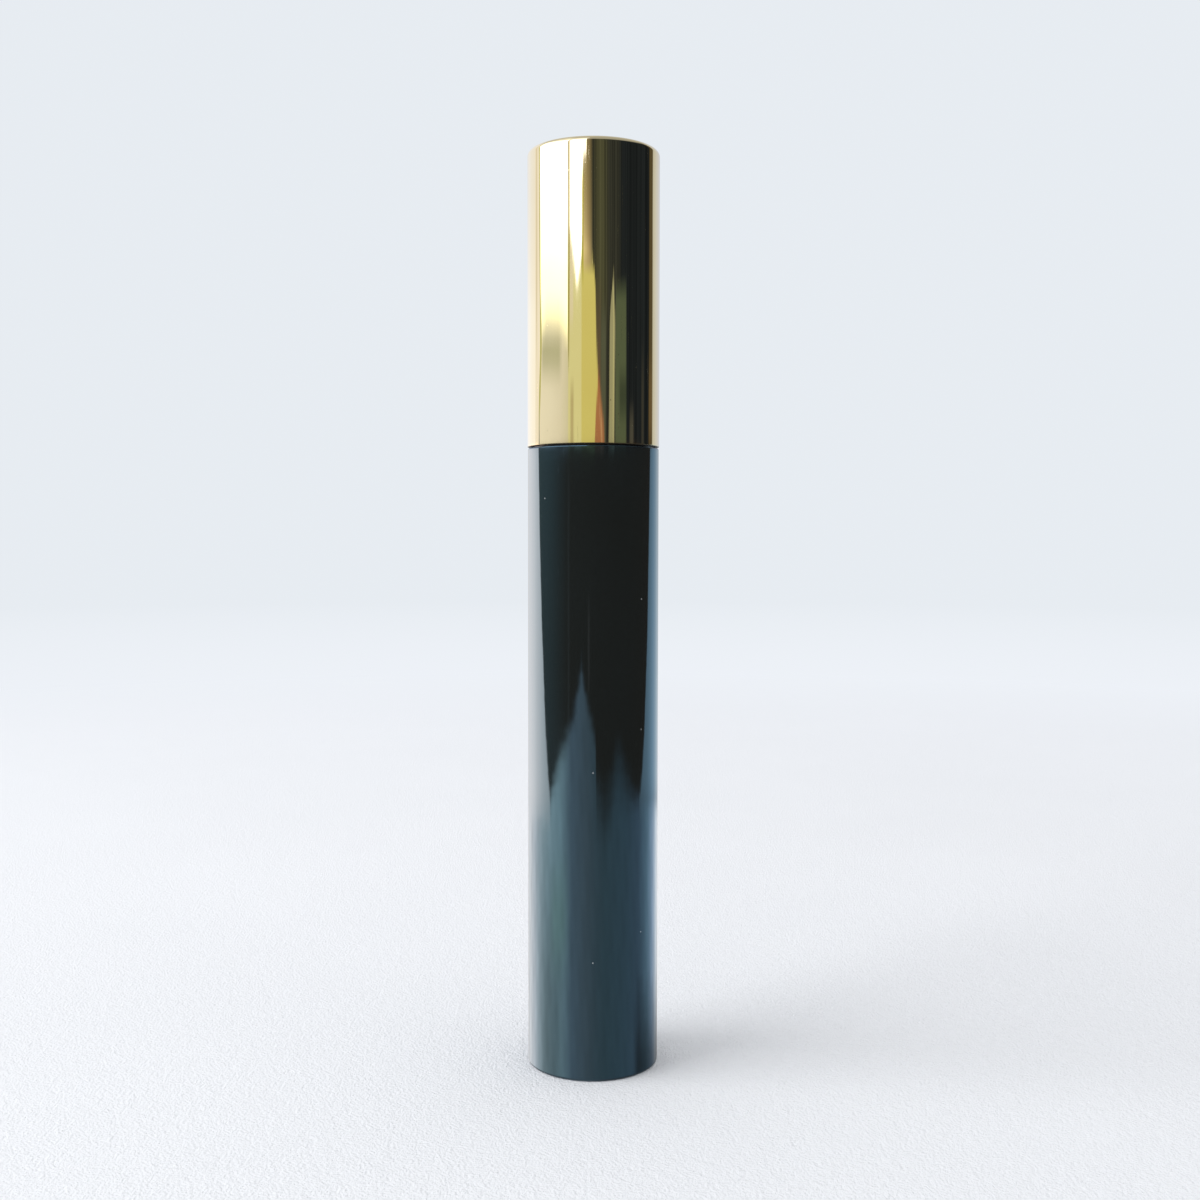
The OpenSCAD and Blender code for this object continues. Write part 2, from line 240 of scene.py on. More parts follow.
def cap_surroundings(az, el):
    """What the cap mirrors, 4 to 16 degrees up.

    There is a window on the left, a warm wall in front of it, a dark room on the right, and the pale
    backdrop behind.
    """
    room = full(az.shape, (0.013, 0.018, 0.029))
    room = paint(room, patch(az, el, -4, 46, 4, 70, 5, 3), (0.034, 0.040, 0.045))
    room = paint(room, 0.6 * patch(az, el, 2, 22, 8.6, 70, 6, 1.5), (0.098, 0.11, 0.077))
    # narrow upright things in the dark
    at = np.arange(-10, 120, 1.5)
    reeds = np.random.default_rng(3).uniform(0.55, 1.5, at.size)
    room = room * np.interp(az, at, reeds, 1.0, 1.0)[..., None]
    room = paint(room, patch(az, el, 2, 13, -5, 9.5, 1.5, 2), (0.13, 0.11, 0.090))
    room = paint(room, patch(az, el, 13, 21, -5, 9.3, 1.5, 1), (0.098, 0.12, 0.11))
    room = paint(room, patch(az, el, 39, 58, -5, 10.2, 1.0, 0.5), (0.10, 0.14, 0.11))
    room = paint(room, 0.6 * patch(az, el, 45, 60, 5.1, 6.7, 3, 0.6), (0.019, 0.030, 0.033))
    room = paint(room, 0.8 * patch(az, el, 66, 73, -5, 5.2, 1.5, 0.7), (0.093, 0.10, 0.11))
    room = paint(room, 0.7 * patch(az, el, 92, 98, -5, 7.2, 1.5, 1.5), (0.056, 0.060, 0.067))

    # a bright slit with a dark rim on its left
    slit_left = np.interp(el, [4, 9, 10.7], [26.5, 27.8, 33.5])
    slit_right = np.interp(el, [4, 9, 10.7], [37.0, 38.3, 35.5])
    room = paint(room, patch(az, el, slit_left - 2, slit_left, -5, 10.4, 0.8, 0.3), (0.028, 0.034, 0.033))
    room = paint(room, patch(az, el, slit_left, slit_right, -5, 10.8, 0.8, 0.3), (0.37, 0.40, 0.32))
    room = paint(room, patch(az, el, slit_right - 3.5, slit_right - 1.5, -5, 10.5, 0.6, 0.3),
                 (0.51, 0.55, 0.40))

    # the copper glow beside the warm wall
    glow = np.interp(el, [3, 4.6, 6, 7.4], [19, 18, 12, 7])
    room = paint(room, patch(az, el, 2, glow, -5, 6.8, 1.5, 0.6), (0.43, 0.21, 0.13))
    room = paint(room, patch(az, el, glow - 5, glow - 3, -5, 5.4, 1.0, 0.5), (0.58, 0.38, 0.28))

    # the warm wall
    wall_right = np.interp(el, [3.6, 5, 6.5, 8, 10.4, 11.4], [1, 4.5, 7.5, 5.5, 3.5, -2])
    wall_high = along(az, [(-41, 13), (-19, 10.9), (-8, 11.2), (0, 11.5), (4, 10.8)])
    room = paint(room, patch(az, el, -45, wall_right, -5, wall_high, 0.8, 0.25), (0.70, 0.70, 0.31))
    room = paint(room, patch(az, el, -45, -20, -5, 12, 1.5, 0.3), (0.77, 0.82, 0.57))
    room = paint(room, 0.9 * patch(az, el, -39.5, -34, -5, 6.3, 1.2, 0.6), (0.54, 0.52, 0.35))
    room = paint(room, 0.8 * patch(az, el, -41, -35, 9, 12.4, 1, 0.6), (0.84, 0.84, 0.87))
    lit = np.interp(el, [11.2, 12.4, 14, 15.5], [2.3, 1.35, 1.0, 0.9])[..., None]
    dim = colour_along(az, [(-17, (0.47, 0.43, 0.30)), (-12, (0.37, 0.33, 0.23)),
                            (-7, (0.24, 0.21, 0.15)), (-2, (0.065, 0.069, 0.060))])
    room = paint(room, patch(az, el, -18, -2, 11.2, 70, 1, 0.2), dim * lit)

    # the window, in two panes
    narrow_low = along(az, [(-42, 12.6), (-38, 12.0), (-33, 11.2), (-28, 10.4), (-24, 10.9), (-18, 12.2)])
    narrow_right = np.interp(el, [10, 15.2, 15.8], [-19, -18.5, -12])
    room = paint(room, patch(az, el, -42, narrow_right, narrow_low, 70, 0.7, 0.25), (2.60, 2.76, 3.47))
    room = paint(room, patch(az, el, -19.6, -17.2, 10.8, 14.8, 0.5, 0.4), (0.51, 0.53, 0.11))
    sill = colour_along(az, [(-108, (0.95, 1.00, 1.12)), (-80, (0.91, 0.96, 1.08)),
                             (-60, (0.84, 0.88, 0.97)), (-45, (0.74, 0.78, 0.77))])
    room = paint(room, patch(az, el, -108, -44, -40, 70, 1, 1), sill)
    room = paint(room, 0.9 * patch(az, el, -101, -58, 6.9, 8.4, 5, 0.9), (0.49, 0.55, 0.48))
    wide = full(az.shape, (2.42, 2.58, 3.07))
    wide[..., 2] *= np.interp(el, [10.5, 13.5], [0.70, 1.0])
    wide_low = along(az, [(-106, 8.7), (-98, 9.0), (-88, 9.4), (-62, 9.3), (-54, 9.0), (-45, 8.6)])
    room = paint(room, patch(az, el, -106, -45, wide_low, 70, 0.8, 1.1), wide)
    room = paint(room, patch(az, el, -44.4, -41.8, 7.4, 70, 0.5, 0.4), (0.65, 0.65, 0.57))
    room = paint(room, patch(az, el, -44.2, -42.2, 7.4, 12.2, 0.5, 0.6), (0.39, 0.41, 0.12))

    # the pale backdrop, seen in the flanks
    frame_at = np.interp(el, [3.6, 5, 8, 12, 16], [-110, -109, -104, -106, -108])
    room = paint(room, 1 - ease(frame_at - 1, frame_at + 1, az), (1.04, 1.08, 1.27))
    room = paint(room, patch(az, el, frame_at - 1.4, frame_at + 1.4, 5, 70, 0.7, 1), (0.48, 0.52, 0.17))
    room = paint(room, patch(az, el, frame_at - 0.5, frame_at + 2.6, 5.6, 9.6, 0.7, 0.8),
                 (0.56, 0.60, 0.28))
    room = paint(room, 0.7 * patch(az, el, -119, -114, 8, 70, 1.5, 2), (0.76, 0.74, 0.73))
    left = colour_along(az, [(-180, (0.78, 0.77, 0.73)), (-150, (0.98, 1.05, 1.30)),
                             (-122, (1.01, 1.08, 1.37))])
    left = left * np.interp(el, [4, 9, 14], [1.17, 1.13, 1.0])[..., None]
    room = paint(room, 1 - ease(-124, -118, az), left)
    room = paint(room, patch(az, el, 112, 126, 4, 70, 2, 3), (0.098, 0.082, 0.053))
    room = paint(room, 0.6 * patch(az, el, 112, 124, 4, 7, 2, 1), (0.19, 0.14, 0.080))
    right = colour_along(az, [(123, (0.62, 0.66, 0.71)), (140, (0.70, 0.76, 0.93)),
                              (160, (0.69, 0.74, 0.91)), (180, (0.62, 0.64, 0.66))])
    return paint(room, ease(122.5, 126.5, az), right)


def body_surroundings(az, el):
    """What the body mirrors, from 4 degrees up to 21.5 down.

    There is the pale table below, the dark room over it, and the pale backdrop in the flanks.
    """
    room = full(az.shape, (0.063, 0.036, 0.024))
    teal = along(az, [(-112, 1.0), (-88, 0.95), (-74, 0.72), (-62, 0.40), (-50, 0.12), (-44, 0.0)])
    room = paint(room, teal * ease(-14, -8, el) * np.interp(el, [-8, 4], [0.55, 1.0]), (0.19, 0.27, 0.27))
    room = paint(room, 0.5 * patch(az, el, -45, -42, -8, 3, 1, 1), (0.25, 0.19, 0.16))
    room = paint(room, 0.5 * patch(az, el, -9, -6, -6.2, -2.6, 0.8, 0.6), (0.38, 0.24, 0.19))

    table = colour_along(az, [
        (-180, (0.55, 0.56, 0.58)), (-168, (1.06, 1.06, 1.08)), (-150, (2.04, 1.98, 1.99)),
        (-125, (2.85, 2.62, 2.57)), (-95, (2.09, 2.08, 1.96)), (-60, (1.75, 1.81, 1.73)),
        (-38, (0.71, 0.75, 0.83)), (-10, (0.52, 0.53, 0.56)), (4, (0.38, 0.44, 0.47)),
        (20, (0.30, 0.40, 0.43)), (60, (0.32, 0.43, 0.50)), (88, (0.38, 0.49, 0.62)),
        (112, (0.69, 0.96, 1.15)), (130, (1.22, 1.47, 1.82)), (152, (1.91, 1.97, 2.08)),
        (168, (1.06, 1.10, 1.14)), (180, (0.50, 0.52, 0.54))])
    shade_left = np.interp(el, [-21, -18, -15, -12], [0.62, 0.68, 0.92, 1.14])
    shade_right = np.interp(el, [-21, -19.4, -17.6, -15], [0.22, 0.50, 0.86, 1.0])
    to_left = ease(-118, -85, az) * (1 - ease(-70, -45, az))
    to_right = ease(70, 92, az)
    table = table * (1 + to_left * (shade_left - 1) + to_right * (shade_right - 1))[..., None]
    table = paint(table, 0.5 * patch(az, el, -78, -48, -17.2, -14, 10, 1.5), (1.41, 1.72, 1.27))
    table = table * (1 - ease(140, 165, np.abs(az)) * np.interp(el, [-21, -11], [0.17, 0.05]))[..., None]
    cloud = np.sin(0.23 * az + 0.9 * el) * np.sin(1.7 * el - 0.05 * az)
    cloud += np.sin(0.41 * az - 1.3 * el + 1) * np.sin(2.9 * el + 0.11 * az + 2)
    table = table * (1 + 0.06 * cloud)[..., None]
    # the table's far edge, as dark things on it let it be seen
    rim = along(az, [(-81, -10.6), (-70, -9.7), (-60, -8.9), (-50, -8.3), (-42, -7.8), (-34, -7.1),
                     (-26, -6.1), (-20, -5.2), (-14, -6.2), (-4, -7.3), (4.5, -8.2), (6, -9.8),
                     (20, -10.6), (32, -9.9), (40, -8.9), (48, -8.7), (60, -9.6), (80, -10.5)])
    soft = along(az, [(-90, 0.35), (-50, 0.7), (-20, 0.5), (4, 0.6),
                      (8, 2.0), (40, 1.8), (60, 1.5), (85, 0.6)])
    room = paint(room, 1 - ease(rim - 1.6 * soft, rim + 0.5 * soft, el), table)

    left = colour_along(az, [
        (-180, (0.50, 0.51, 0.53)), (-168, (0.96, 0.96, 0.98)), (-155, (1.73, 1.69, 1.70)),
        (-139, (2.90, 2.64, 2.56)), (-126, (3.84, 3.31, 3.09)), (-108, (4.25, 3.41, 3.10)),
        (-90, (3.83, 2.99, 2.67))])
    edge = np.interp(el, [-10.9, -10, -8, -4, 0, 4], [-81, -85, -92.5, -101, -108, -112])
    room = paint(room, (1 - ease(edge - 1, edge + 1, az)) * ease(-12.5, -10.5, el), left)
    right = colour_along(az, [
        (90, (0.67, 0.80, 0.90)), (110, (0.68, 0.91, 1.07)), (130, (0.86, 1.21, 1.50)),
        (152, (1.12, 1.30, 1.44)), (168, (0.73, 0.79, 0.85)), (180, (0.46, 0.48, 0.50))])
    right = right * np.interp(el, [-8, 4], [1.0, 0.78])[..., None]
    edge = np.interp(el, [-10.6, -10, -8, -4, 4], [90, 96, 103, 111, 119])
    return paint(room, ease(edge - 1.2, edge + 1.2, az) * ease(-12, -10, el), right)


def studio_light(az, el):
    """Radiance of the room by direction. The cap and the body mirror the two sides of a narrow border."""
    share = ease(*BORDER, el)[..., None]
    room = body_surroundings(az, el) * (1 - share) + cap_surroundings(az, el) * share
    # far below, the table by the tube: lighter towards the window
    lighter = 1 + 0.40 * np.cos(np.radians(az + 72)) + 0.12 * np.cos(np.radians(3 * az + 20))
    near = full(az.shape, (0.40, 0.41, 0.44)) * lighter[..., None]
    room = paint(room, 1 - ease(-26, -23, el), near)
    # and overhead the pale ceiling
    return paint(room, 0.8 * ease(32, 50, el), (0.55, 0.58, 0.64))


def add_studio_reflections():
    """A large shell that only glossy rays see; it carries the painted room."""
    radius, step = 8.0, 0.5
    az = np.arange(-180, 180, step)
    el = np.sort(np.append(np.arange(-89.75, 90, step), BORDER))
    grid_az, grid_el = np.meshgrid(az, el)
    a, e = np.radians(grid_az), np.radians(grid_el)
    points = np.stack([np.sin(a) * np.cos(e), -np.cos(a) * np.cos(e), np.sin(e)], -1) * radius
    points[..., 2] += EYE_HEIGHT
    rows, columns = grid_az.shape
    index = np.arange(rows * columns).reshape(rows, columns)
    right = np.roll(index, -1, axis=1)
    faces = np.stack([index[:-1], right[:-1], right[1:], index[1:]], -1).reshape(-1, 4)
    mesh = bpy.data.meshes.new("studio_shell")
    mesh.from_pydata(points.reshape(-1, 3), [], faces.tolist())
    light = mesh.color_attributes.new("light", "FLOAT_COLOR", "POINT")
    rgba = np.ones((rows * columns, 4), np.float32)
    rgba[:, :3] = studio_light(grid_az, grid_el).reshape(-1, 3)
    light.data.foreach_set("color", rgba.ravel())
    shell = link(bpy.data.objects.new("studio_shell", mesh))
    tree = Tree("studio_shell")
    tree.nodes.remove(tree.shader)
    emission = tree.add("ShaderNodeEmission")
    painted = tree.add("ShaderNodeAttribute", attribute_name="light")
    tree.join(painted.outputs["Color"], emission.inputs["Color"])
    tree.join(emission.outputs[0], tree.output.inputs["Surface"])
    tree.material.cycles.emission_sampling = "NONE"
    mesh.materials.append(tree.material)
    shell.visible_camera = False
    shell.visible_diffuse = False
    shell.visible_shadow = False
    shell.visible_volume_scatter = False


def floor_material():
    tree = Tree("floor_paper")
    place = tree.coords()
    grain = tree.noise(place, 2600, 2.0, 0.6)
    pores = tree.noise(place, 800, 2.0, 0.5)
    normal = tree.bump(grain, 260 * MICRON, 1.0, tree.bump(pores, 300 * MICRON, 0.6))
    tone = tree.mix(tree.span(tree.noise(place, 14, 3.0), 0.35, 0.65), FLOOR_COLOUR,
                    tuple(c * 0.985 for c in FLOOR_COLOUR))
    tree.finish(tone, 0.8, normal, Specular_IOR_Level=0.2)
    # far from the tube the floor takes the backdrop's light, so no horizon shows
    length = tree.add("ShaderNodeVectorMath", operation="LENGTH")
    tree.join(place, length.inputs[0])
    distance = length.outputs["Value"]
    far = tree.span(distance, *GLOW_STARTS)
    path = tree.add("ShaderNodeLightPath")
    seen = tree.math("MAXIMUM", path.outputs["Is Camera Ray"],
                     tree.math("MAXIMUM", path.outputs["Is Glossy Ray"], path.outputs["Is Transmission Ray"]))
    glow = tree.add("ShaderNodeEmission")
    tree.join(tree.mix(tree.span(distance, *GLOW_PALES), FLOOR_GLOW, PALE), glow.inputs["Color"])
    mixer = tree.add("ShaderNodeMixShader")
    tree.join(tree.math("MULTIPLY", far, seen), mixer.inputs["Fac"])
    tree.join(tree.shader.outputs[0], mixer.inputs[1])
    tree.join(glow.outputs[0], mixer.inputs[2])
    tree.join(mixer.outputs[0], tree.output.inputs["Surface"])
    return tree.material


def add_floor():
    signs = [(-1, -1), (1, -1), (1, 1), (-1, 1)]
    corners = [(x * FLOOR_HALF, y * FLOOR_HALF, 0) for x, y in signs]
    floor = mesh_object("floor", corners, [(0, 1, 2, 3)])
    floor.data.materials.append(floor_material())
    floor.visible_glossy = False


def area_light(name, azimuth, elevation, distance, size, power, colour):
    """A rectangular lamp that looks at the middle of the tube from a direction in degrees."""
    data = bpy.data.lights.new(name, "AREA")
    data.shape = "RECTANGLE"
    data.size, data.size_y = size
    data.energy = power
    data.color = colour
    lamp = link(bpy.data.objects.new(name, data))
    a, e = math.radians(azimuth), math.radians(elevation)
    target = Vector((0, 0, 60 * MM))
    offset = Vector((math.sin(a) * math.cos(e), -math.cos(a) * math.cos(e), math.sin(e))) * distance
    lamp.location = target + offset
    lamp.rotation_euler = (-offset).to_track_quat("-Z", "Y").to_euler()
    lamp.visible_glossy = False


def add_lights():
    world = bpy.data.worlds.new("studio_world")
    world.use_nodes = True
    nodes, links = world.node_tree.nodes, world.node_tree.links
    lit = nodes["Background"]
    lit.inputs["Color"].default_value = (*SKY, 1)
    seen = nodes.new("ShaderNodeBackground")
    seen.inputs["Color"].default_value = (*PALE, 1)
    path = nodes.new("ShaderNodeLightPath")
    direct = path.outputs["Is Camera Ray"]
    for name in ("Is Glossy Ray", "Is Transmission Ray"):
        either = nodes.new("ShaderNodeMath")
        either.operation = "MAXIMUM"
        links.new(direct, either.inputs[0])
        links.new(path.outputs[name], either.inputs[1])
        direct = either.outputs[0]
    mixer = nodes.new("ShaderNodeMixShader")
    links.new(direct, mixer.inputs["Fac"])
    links.new(lit.outputs[0], mixer.inputs[1])
    links.new(seen.outputs[0], mixer.inputs[2])
    links.new(mixer.outputs[0], nodes["World Output"].inputs["Surface"])
    bpy.context.scene.world = world
    area_light("window", azimuth=-72, elevation=36, distance=1.2, size=(0.9, 1.1), power=9.3,
               colour=(1.0, 0.99, 0.985))


# ---------------------------------------------------------------- shapes

def arc(r, z, radius, start, end, steps=10):
    """Points (r, z) of a round edge about its centre; angles in degrees, 0 pointing outwards."""
    angles = [math.radians(start + (end - start) * i / steps) for i in range(steps + 1)]
    return [(r + radius * math.cos(a), z + radius * math.sin(a)) for a in angles]


def toward(a, b, distance):
    """The point that lies so far from a on the way to b, but no further than 0.4 of the way."""
    length = math.dist(a, b)
    share = min(distance / length, 0.4)
    return tuple(p + (q - p) * share for p, q in zip(a, b))


def soften(outline, radius, closed=True, steps=4):
    """Rounds each corner of an outline of (r, z) points, apart from the ends of an open one."""
    points = []
    for i, corner in enumerate(outline):
        if not closed and i in (0, len(outline) - 1):
            points.append(corner)
            continue
        start = toward(corner, outline[i - 1], radius)
        end = toward(corner, outline[(i + 1) % len(outline)], radius)
        for k in range(steps + 1):
            t = k / steps
            points.append(tuple((1 - t) ** 2 * s + 2 * t * (1 - t) * c + t * t * e
                                for s, c, e in zip(start, corner, end)))
    return points


def held(outline, closed=True, hold=0.03 * MM):
    """Adds a point near each end of every long side, so that its shading stays straight up to its edges."""
    points = []
    sides = list(zip(outline, outline[1:] + outline[:1])) if closed else list(zip(outline, outline[1:]))
    for a, b in sides:
        points.append(a)
        if math.dist(a, b) > 8 * hold:
            points += [toward(a, b, hold), toward(b, a, hold)]
    return points if closed else points + outline[-1:]


def lathe(name, outline, segments=256, closed=True):
    """Turns an outline of (r, z) points about Z; points on the axis become one vertex."""
    vertices, rings = [], []
    for r, z in held(outline, closed):
        if r < 1e-9:
            rings.append([len(vertices)] * segments)
            vertices.append((0, 0, z))
        else:
            rings.append(list(range(len(vertices), len(vertices) + segments)))
            turns = [TURN * i / segments for i in range(segments)]
            vertices += [(r * math.cos(turn), r * math.sin(turn), z) for turn in turns]
    faces = []
    pairs = list(zip(rings, rings[1:])) + ([(rings[-1], rings[0])] if closed else [])
    for lower, upper in pairs:
        for i in range(segments):
            j = (i + 1) % segments
            corner = [lower[i], lower[j], upper[j], upper[i]]
            face = [v for k, v in enumerate(corner) if v != corner[k - 1]]
            if len(face) > 2:
                faces.append(face)
    obj = mesh_object(name, vertices, faces)
    obj.data.set_sharp_from_angle(angle=math.radians(40))
    return obj


def tube_faces(rings, sides):
    """Quads of a tube whose rings of vertices follow each other, with both ends closed."""
    faces = []
    for start in range(0, (rings - 1) * sides, sides):
        for k in range(sides):
            j = (k + 1) % sides
            faces.append((start + k, start + j, start + sides + j, start + sides + k))
    return faces + [tuple(range(sides))[::-1], tuple(range((rings - 1) * sides, rings * sides))]


def helix(name, centre_r, wire_r, bottom, top, pitch, phase, sides=14, steps=28):
    """A round wire wound about Z, right-handed, with its ends rounded off."""
    count = math.ceil((top - bottom) / pitch * steps)
    climb = math.atan2(pitch, TURN * centre_r)
    vertices = []
    for i in range(count + 1):
        z = bottom + (top - bottom) * i / count
        a = phase + TURN * (z - bottom) / pitch
        out = Vector((math.cos(a), math.sin(a), 0))
        side = Vector((math.sin(a) * math.sin(climb), -math.cos(a) * math.sin(climb), math.cos(climb)))
        near_end = min(i, count - i)
        size = wire_r * (0.55, 0.85, 1.0)[min(near_end, 2)]
        for k in range(sides):
            b = TURN * k / sides
            point = out * centre_r + out * size * math.cos(b) + side * size * math.sin(b)
            height = min(max(z + point.z, bottom), top)
            vertices.append((point.x, point.y, height))
    return mesh_object(name, vertices, tube_faces(count + 1, sides))


def thread_ridge(name, wall_r, crest_r, bottom, pitch, turns, steps=96):
    """A moulded thread ridge with soft edges that fades out at both ends."""
    lower = [(-0.5, -0.50), (0.0, -0.47), (0.80, -0.29), (0.97, -0.22)]
    section = lower + [(1.0, 0.0)] + [(depth, -rise) for depth, rise in reversed(lower)]
    count = math.ceil(turns * steps)
    vertices = []
    for i in range(count + 1):
        turn = turns * i / count
        fade = min(1, turn / 0.12, (turns - turn) / 0.12)
        fade = fade * fade * (3 - 2 * fade)
        for depth, rise in section:
            r = wall_r + (crest_r - wall_r) * (depth * fade if depth > 0 else depth)
            z = bottom + pitch * turn + rise * MM
            vertices.append((r * math.cos(TURN * turn), r * math.sin(TURN * turn), z))
    return mesh_object(name, vertices, tube_faces(count + 1, len(section)))


def stand_in(obj, body, node, material):
    """obj is shown instead of a CAD node, on the same body."""
    obj.data.materials.append(material)
    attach(obj, body)
    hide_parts(node)
    return obj


# ---------------------------------------------------------------- materials

def around(tree):
    """(arc length, height, radius) of a surface point on a round piece, in metres."""
    place = tree.add("ShaderNodeTexCoord").outputs["Object"]
    parts = tree.add("ShaderNodeSeparateXYZ")
    tree.join(place, parts.inputs[0])
    turn = tree.math("ARCTAN2", parts.outputs["X"], tree.math("MULTIPLY", parts.outputs["Y"], -1.0))
    squares = [tree.math("MULTIPLY", parts.outputs[axis], parts.outputs[axis]) for axis in "XY"]
    radius = tree.math("POWER", tree.math("ADD", *squares), 0.5)
    both = tree.add("ShaderNodeCombineXYZ")
    tree.join(tree.math("MULTIPLY", turn, radius), both.inputs["X"])
    tree.join(parts.outputs["Z"], both.inputs["Y"])
    tree.join(radius, both.inputs["Z"])
    return both.outputs[0]


def component(tree, vector, axis):
    parts = tree.add("ShaderNodeSeparateXYZ")
    tree.join(vector, parts.inputs[0])
    return parts.outputs[axis]


def specks(tree, surface, scale, size, share, turn=0):
    """Random marks, one at most in each cell of a grid that scale stretches; share of the cells have one."""
    cells = tree.add("ShaderNodeTexVoronoi", feature="F1", voronoi_dimensions="2D")
    tree.join(tree.coords(scale + (1,), (0, 0, turn), surface), cells.inputs["Vector"])
    cells.inputs["Scale"].default_value = 1
    chosen = tree.add("ShaderNodeSeparateColor")
    tree.join(cells.outputs["Color"], chosen.inputs[0])
    mark = tree.span(cells.outputs["Distance"], 0, size, 1, 0)
    return tree.math("MULTIPLY", mark, tree.math("LESS_THAN", chosen.outputs[0], share))


def hairlines(tree, surface, turn, share, width=0.03, length=2.4):
    """Short straight scratches, turned from the vertical by degrees; width and length in millimetres."""
    size = 0.12
    return specks(tree, surface, (2 * size / (width * MM), 2 * size / (length * MM)), size, share, turn)


def all_of(tree, *marks):
    total = marks[0]
    for mark in marks[1:]:
        total = tree.math("MAXIMUM", total, mark)
    return total


def gold_material():
    tree = Tree("gold_shell")
    surface = around(tree)
    place = tree.coords()
    drawn = tree.noise(tree.coords((5200, 42, 1), source=surface), 1.0, 2.0, 0.55)
    bands = tree.noise(tree.coords((900, 16, 1), source=surface), 1.0, 2.0, 0.5)
    smear = tree.noise(tree.coords((320, 90, 320), source=surface), 1.0, 3.0, 0.55)
    hairs = all_of(tree, hairlines(tree, surface, 34, 0.012), hairlines(tree, surface, 41, 0.010, 0.025, 4.0),
                   hairlines(tree, surface, -28, 0.008, 0.025, 3.0),
                   hairlines(tree, surface, 3, 0.02, 0.02, 6.0))
    pits = specks(tree, surface, (900, 900), 0.06, 0.05)
    height = tree.math("ADD", tree.math("MULTIPLY", drawn, 0.28), tree.math("MULTIPLY", hairs, -0.45))
    height = tree.math("SUBTRACT", height, tree.math("MULTIPLY", pits, 0.8))
    waves = tree.noise(tree.coords((110, 30, 110), source=surface), 1.0, 1.0)
    normal = tree.bump(bands, 8 * MICRON, 1.0, tree.bump(height, 4 * MICRON, 1.0))
    normal = tree.bump(waves, 22 * MICRON, 1.0, normal)
    rough = tree.math("ADD", tree.span(smear, 0.35, 0.75, 0.02, 0.055), tree.math("MULTIPLY", hairs, 0.25))
    tone = tree.mix(tree.span(tree.noise(place, 70, 3.0), 0.3, 0.7), (0.86, 0.72, 0.42), (0.83, 0.68, 0.385))
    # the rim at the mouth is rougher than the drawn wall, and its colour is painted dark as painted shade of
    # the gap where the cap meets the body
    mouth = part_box("cap_shell")[0].z
    rim = tree.span(component(tree, surface, "Y"), mouth + 0.07 * MM, mouth + 0.12 * MM, 1, 0)
    tone = tree.mix(rim, tone, (0.17, 0.14, 0.09))
    rough = tree.math("MAXIMUM", rough, tree.math("MULTIPLY", rim, 0.3))
    return tree.finish(tone, rough, normal, metallic=1.0)


def lacquer_material():
    tree = Tree("black_lacquer")
    surface = around(tree)
    peel = tree.noise(tree.coords((260, 180, 260), source=surface), 1.0, 2.0)
    drawn = tree.noise(tree.coords((2600, 20, 1), source=surface), 1.0, 2.0, 0.6)
    hairs = all_of(tree, hairlines(tree, surface, 36, 0.006, 0.03, 2.0),
                   hairlines(tree, surface, -24, 0.006, 0.025, 2.8),
                   hairlines(tree, surface, 4, 0.008, 0.02, 6.0))
    dust = specks(tree, surface, (420, 420), 0.035, 0.012)
    height = tree.math("ADD", tree.math("MULTIPLY", drawn, 0.2), tree.math("MULTIPLY", hairs, -0.3))
    normal = tree.bump(peel, 12 * MICRON, 1.0, tree.bump(height, 4 * MICRON, 1.0))
    haze = tree.noise(tree.coords((90, 55, 90), source=surface), 1.0, 3.0)
    rough = tree.math("ADD", tree.span(haze, 0.3, 0.7, 0.03, 0.06), tree.math("MULTIPLY", hairs, 0.2))
    base = tree.mix(tree.span(haze, 0.3, 0.7), (0.0092, 0.0110, 0.0104), (0.0100, 0.0122, 0.0120))
    base = tree.mix(tree.math("MULTIPLY", hairs, 0.3), base, (0.10, 0.11, 0.11))
    base = tree.mix(tree.math("GREATER_THAN", dust, 0.05), base, (0.45, 0.46, 0.46))
    return tree.finish(base, rough, normal, IOR=1.6, Specular_IOR_Level=1.0,
                       Specular_Tint=(0.45, 0.78, 1.0, 1.0))


def plastic_material(name, colour, low, high, grain=10 * MICRON, grain_scale=900, gloss=0.5):
    """Moulded plastic with a roughness of low to high and a fine grain."""
    tree = Tree(name)
    place = tree.coords()
    mottle = tree.noise(place, 160, 3.0)
    fine = tree.noise(place, grain_scale, 2.0)
    darker = tuple(c * 0.86 for c in colour)
    tone = tree.mix(tree.span(mottle, 0.3, 0.7), colour, darker)
    return tree.finish(tone, tree.span(mottle, 0.25, 0.75, low, high), tree.bump(fine, grain, 0.8),
                       Specular_IOR_Level=gloss)


def soiled_material(name, colour, low, high, soiled, gloss=0.5):
    """A plastic with wet paste on it where soiled(tree, surface) gives more than 0.5."""
    tree = Tree(name)
    surface = around(tree)
    mottle = tree.noise(tree.coords(), 160, 3.0)
    lumps = tree.noise(tree.coords(), 1500, 3.0, 0.6)
    edge = tree.span(lumps, 0.3, 0.7, -0.35, 0.35)
    mask = tree.span(tree.math("ADD", soiled(tree, surface), edge), 0.46, 0.54)
    tone = tree.mix(tree.span(mottle, 0.3, 0.7), colour, tuple(c * 0.86 for c in colour))
    tone = tree.mix(mask, tone, (0.010, 0.009, 0.009))
    dry = tree.span(mottle, 0.25, 0.75, low, high)
    wet = tree.span(lumps, 0.3, 0.7, 0.16, 0.42)
    bare = tree.math("SUBTRACT", 1.0, mask)
    rough = tree.math("ADD", tree.math("MULTIPLY", dry, bare), tree.math("MULTIPLY", wet, mask))
    normal = tree.bump(tree.math("MULTIPLY", lumps, mask), 120 * MICRON, 1.0)
    return tree.finish(tone, rough, normal, Specular_IOR_Level=gloss)


